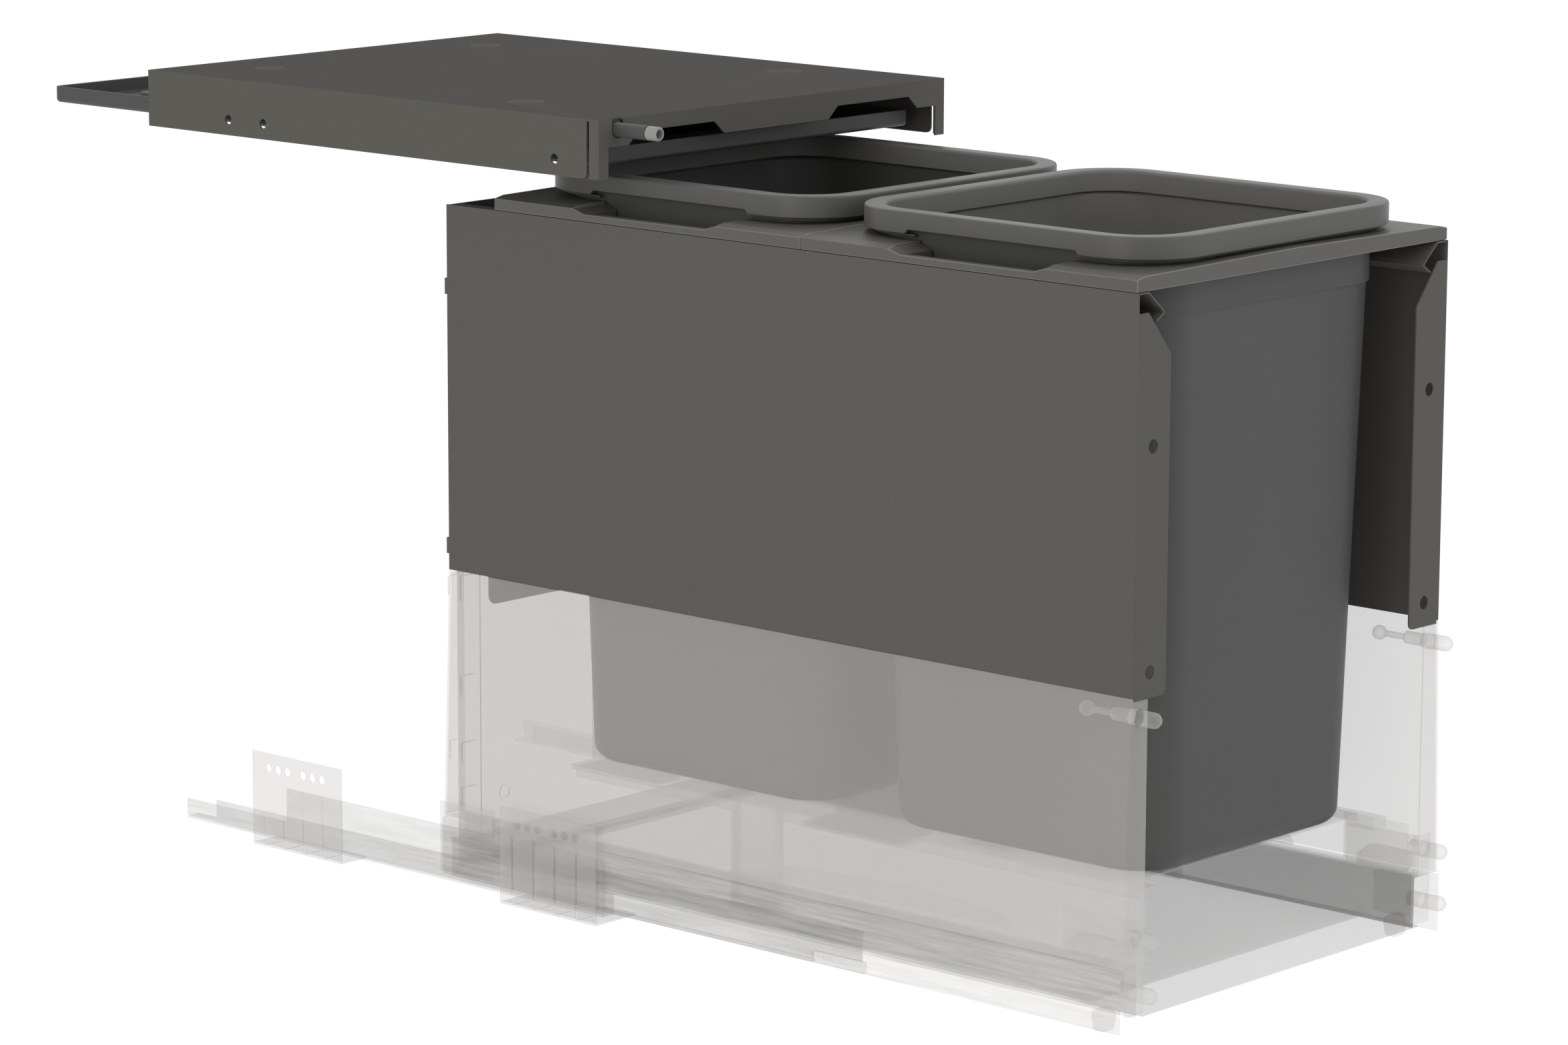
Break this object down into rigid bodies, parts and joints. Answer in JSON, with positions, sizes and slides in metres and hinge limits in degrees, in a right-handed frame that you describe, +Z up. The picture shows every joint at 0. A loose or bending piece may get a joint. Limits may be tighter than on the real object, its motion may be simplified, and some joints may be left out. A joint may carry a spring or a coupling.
{
  "type": "pull out trash cabinet",
  "caption": "Pull-out waste unit for a narrow kitchen cabinet: bins with bag rings in a runner-mounted drawer that slides under a fixed lid with a drop-down cover.",
  "frame": {"origin": "centre of the pulled-out unit's box in X and Y, on the plane of the runner brackets' undersides, the lowest faces", "axes": "+X to the right seen from the front, +Y into the cabinet, +Z up; the carriage is pulled out towards -Y at rest"},
  "size_m": [0.318, 0.9246, 0.496],
  "materials": {
    "coated_steel": "fine matt powder coat, warm dark grey",
    "dark_plastic": "satin moulded plastic, dark grey",
    "ring_plastic": "satin moulded plastic, dark grey",
    "frame_plastic": "satin moulded plastic, dark grey",
    "pale_plastic": "smooth light grey plastic",
    "clear_steel": "shown see-through, pale grey sheet steel",
    "clear_plastic": "shown see-through, pale grey plastic"
  },
  "bodies": {
    "cabinet_side": {"top_cover": "coated_steel", "rod_guide": "dark_plastic", "cover_post_front_right": "dark_plastic", "cover_post_front_left": "dark_plastic", "cover_post_rear_right": "dark_plastic", "cover_post_rear_left": "dark_plastic", "cabinet_runner_right": "clear_steel", "cabinet_runner_left": "clear_steel", "runner_bracket_front_right": "clear_steel", "runner_bracket_front_left": "clear_steel", "runner_bracket_rear_right": "clear_steel", "runner_bracket_rear_left": "clear_steel"},
    "cover": {"cover_tray": "dark_plastic"},
    "push_rod": {"push_rod": "dark_plastic", "push_rod_tip": "pale_plastic"},
    "middle_right": {"middle_runner_right": "clear_steel", "runner_clip_right": "clear_plastic"},
    "middle_left": {"middle_runner_left": "clear_steel", "runner_clip_left": "clear_plastic"},
    "carriage": {"side_panel_right": "coated_steel", "side_panel_left": "coated_steel", "back_plate": "coated_steel", "frame_rear": "frame_plastic", "frame_front": "frame_plastic", "bin_front": "dark_plastic", "bin_rear": "dark_plastic", "ring_front": "ring_plastic", "ring_rear": "ring_plastic", "lower_panel_right": "clear_steel", "lower_panel_left": "clear_steel", "rear_wall": "clear_steel", "rear_rail": "clear_steel", "drawer_profile_right": "clear_steel", "drawer_profile_left": "clear_steel", "drawer_cheek_right": "clear_plastic", "drawer_cheek_left": "clear_plastic", "drawer_bottom": "clear_steel", "drawer_liner": "clear_plastic", "bin_base": "clear_plastic", "rear_connector_right": "clear_plastic", "rear_connector_left": "clear_plastic", "front_bracket_right": "clear_steel", "front_bracket_left": "clear_steel", "cover_cap_right": "clear_plastic", "cover_cap_left": "clear_plastic", "adjuster_right": "clear_plastic", "adjuster_left": "clear_plastic", "lever_housing_right": "clear_plastic", "lever_housing_left": "clear_plastic", "dowel_upper_right": "clear_plastic", "dowel_middle_right": "clear_plastic", "dowel_lower_right": "clear_plastic", "dowel_upper_left": "clear_plastic", "dowel_middle_left": "clear_plastic", "dowel_lower_left": "clear_plastic", "ball_screw_right": "clear_steel", "ball_screw_left": "clear_steel"},
    "lever_right": {"release_lever_right": "clear_plastic"},
    "lever_left": {"release_lever_left": "clear_plastic"}
  },
  "joints": [
    {"name": "carriage_slide", "type": "slide", "parent": "cabinet_side", "child": "carriage", "axis": [0, 1, 0], "range_m": [0, 0.4]},
    {"name": "middle_right_slide", "type": "slide", "parent": "cabinet_side", "child": "middle_right", "axis": [0, 1, 0], "range_m": [0, 0.2]},
    {"name": "middle_left_slide", "type": "slide", "parent": "cabinet_side", "child": "middle_left", "axis": [0, 1, 0], "range_m": [0, 0.2]},
    {"name": "cover_drop", "type": "slide", "parent": "cabinet_side", "child": "cover", "axis": [0, 0, -1], "range_m": [0, 0.007], "stiffness_N_per_m": 900, "springref_m": -0.01},
    {"name": "push_rod_press", "type": "slide", "parent": "cabinet_side", "child": "push_rod", "axis": [0, 1, 0], "range_m": [0, 0.0385]},
    {"name": "release_lever_right_turn", "type": "hinge", "parent": "carriage", "child": "lever_right", "pos_m": [0.141, -0.4257, 0.013], "axis": [1, 0, 0], "range_deg": [0, 14], "stiffness_Nm_per_rad": 0.02, "springref_deg": -5.73},
    {"name": "release_lever_left_turn", "type": "hinge", "parent": "carriage", "child": "lever_left", "pos_m": [-0.141, -0.4257, 0.013], "axis": [1, 0, 0], "range_deg": [0, 14], "stiffness_Nm_per_rad": 0.02, "springref_deg": -5.73}
  ],
  "couplings": [
    {"joint": "middle_right_slide", "follows": "carriage_slide", "ratio": 0.5},
    {"joint": "middle_left_slide", "follows": "carriage_slide", "ratio": 0.5},
    {"joint": "push_rod_press", "follows": "cover_drop", "ratio": 5.5}
  ]
}
